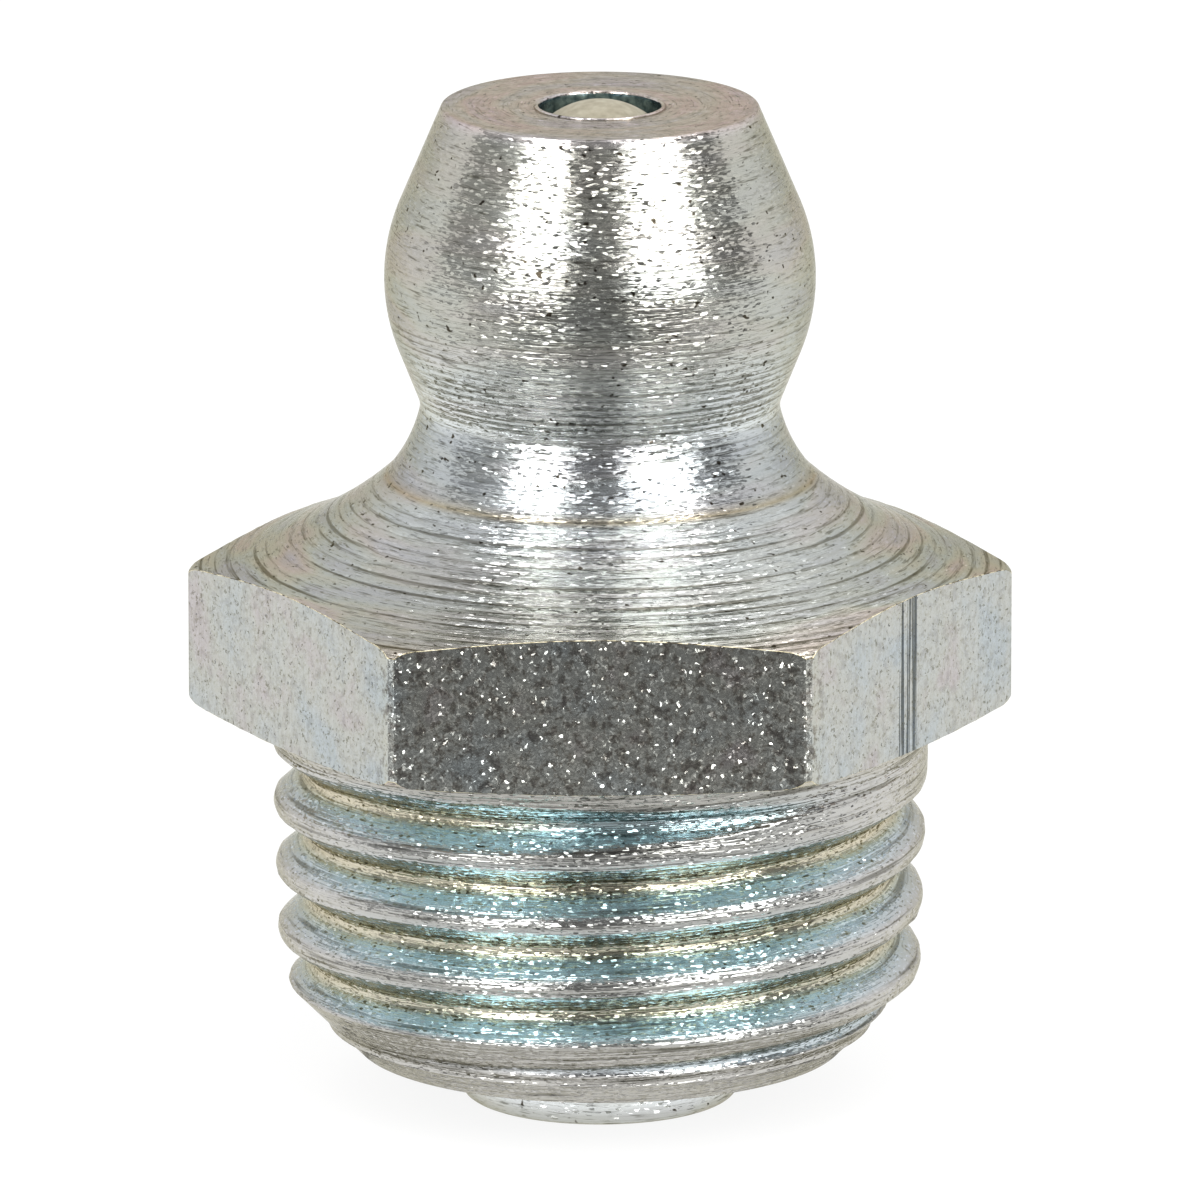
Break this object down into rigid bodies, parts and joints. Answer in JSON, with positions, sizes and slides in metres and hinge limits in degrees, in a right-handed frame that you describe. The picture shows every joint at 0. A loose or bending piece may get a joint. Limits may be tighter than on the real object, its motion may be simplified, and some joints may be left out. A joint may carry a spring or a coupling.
{
  "type": "grease nipple",
  "caption": "Straight hydraulic grease nipple: bulged coupler head with a ball valve, hexagon for a spanner and a short taper thread that ends in a plain nose.",
  "frame": {"origin": "on the nipple's axis, in the plane of the hexagon's underside, where the thread begins", "axes": "+Z along the axis towards the head, the thread points to -Z, and one flat of the hexagon faces -Y, so that two of its corners lie on the X axis"},
  "size_m": [0.0126, 0.011, 0.0156],
  "materials": {
    "plated_steel": "bright zinc plating with a blue passivated film, fine turning marks left to show",
    "ball_steel": "ground bearing ball",
    "spring_steel": "drawn spring wire"
  },
  "bodies": {
    "nipple": {"nipple_body": "plated_steel", "spring": "spring_steel"},
    "valve_ball": {"check_ball": "ball_steel"}
  },
  "joints": [
    {"name": "ball_lift", "type": "slide", "parent": "nipple", "child": "valve_ball", "axis": [0, 0, -1], "range_m": [0, 0.001], "stiffness_N_per_m": 2150, "deforming": ["spring"]}
  ]
}
